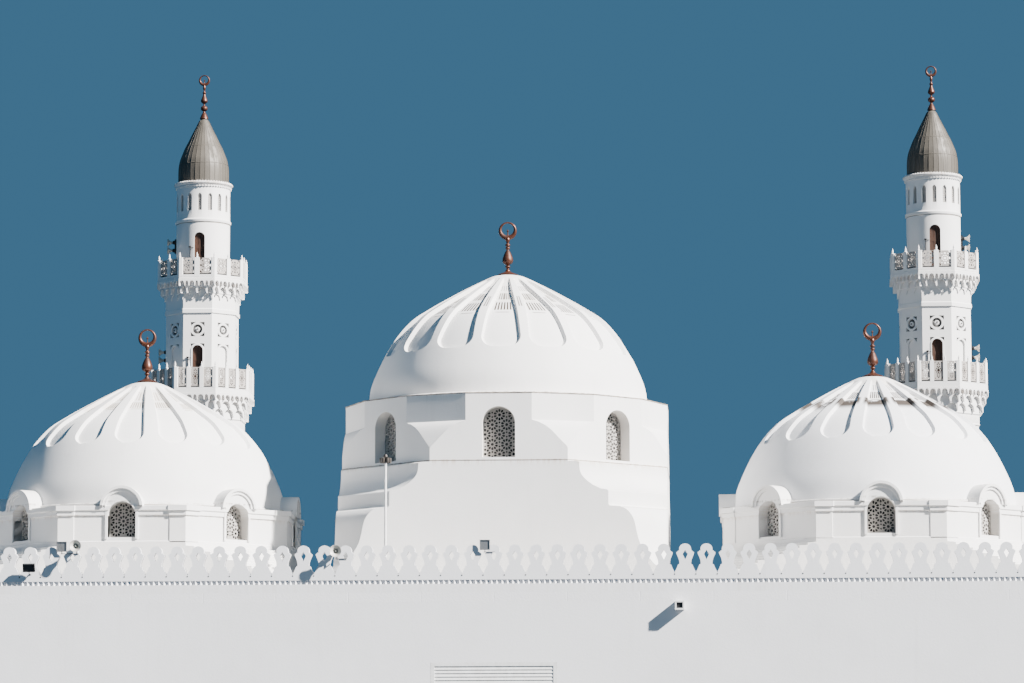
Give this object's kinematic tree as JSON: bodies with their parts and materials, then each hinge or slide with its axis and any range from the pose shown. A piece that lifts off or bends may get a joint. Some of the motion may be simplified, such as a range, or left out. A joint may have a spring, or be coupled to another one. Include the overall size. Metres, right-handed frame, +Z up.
{
  "type": "mosque building, scale model 1:2",
  "caption": "Domed prayer hall with a crenellated front wall, a stepped central tower, side drums and balconied minarets at the rear corners; a 1:2 scale model",
  "frame": {"origin": "on the ground under the middle of the building's bounding box", "axes": "X runs right along the front wall, Y runs back from the front wall to the minarets, Z is up"},
  "size_m": [25.75, 39.24, 23.2212],
  "materials": {
    "plaster": "matte",
    "copper": "satin",
    "cap_sheet": "satin",
    "door_wood": "satin",
    "roof_screed": "matte",
    "floor_stone": "satin",
    "louvre_paint": "satin",
    "horn_paint": "satin",
    "lamp_paint": "satin",
    "lamp_grey": "satin"
  },
  "bodies": {
    "root": {"central_base": "plaster", "central_dome": "plaster", "central_drum": "plaster", "central_finial": "copper", "centre_horn": "horn_paint", "centre_panel_light": "lamp_grey", "floor_slab": "floor_stone", "front_louvre": "louvre_paint", "front_parapet": "plaster", "front_wall": "plaster", "lamp_pole": "lamp_paint", "left_dome": "plaster", "left_drum": "plaster", "left_finial": "copper", "left_floodlight": "lamp_grey", "left_horn": "horn_paint", "left_minaret_base": "plaster", "left_minaret_cap": "cap_sheet", "left_minaret_finial": "copper", "left_minaret_lower_door": "door_wood", "left_minaret_lower_horns": "horn_paint", "left_minaret_lower_railing": "plaster", "left_minaret_lower_shaft": "plaster", "left_minaret_turret": "plaster", "left_minaret_upper_door": "door_wood", "left_minaret_upper_horns": "horn_paint", "left_minaret_upper_railing": "plaster", "left_minaret_upper_shaft": "plaster", "left_panel_light": "lamp_grey", "left_parapet": "plaster", "left_wall": "plaster", "rear_entrance_arch": "plaster", "rear_entrance_left_pier": "plaster", "rear_entrance_right_pier": "plaster", "rear_parapet": "plaster", "rear_wall_left": "plaster", "rear_wall_right": "plaster", "right_dome": "plaster", "right_drum": "plaster", "right_finial": "copper", "right_minaret_base": "plaster", "right_minaret_cap": "cap_sheet", "right_minaret_finial": "copper", "right_minaret_lower_door": "door_wood", "right_minaret_lower_horns": "horn_paint", "right_minaret_lower_railing": "plaster", "right_minaret_lower_shaft": "plaster", "right_minaret_turret": "plaster", "right_minaret_upper_door": "door_wood", "right_minaret_upper_horns": "horn_paint", "right_minaret_upper_railing": "plaster", "right_minaret_upper_shaft": "plaster", "right_parapet": "plaster", "right_wall": "plaster", "roof_slab": "roof_screed", "wall_lamp": "lamp_paint"}
  },
  "joints": []
}
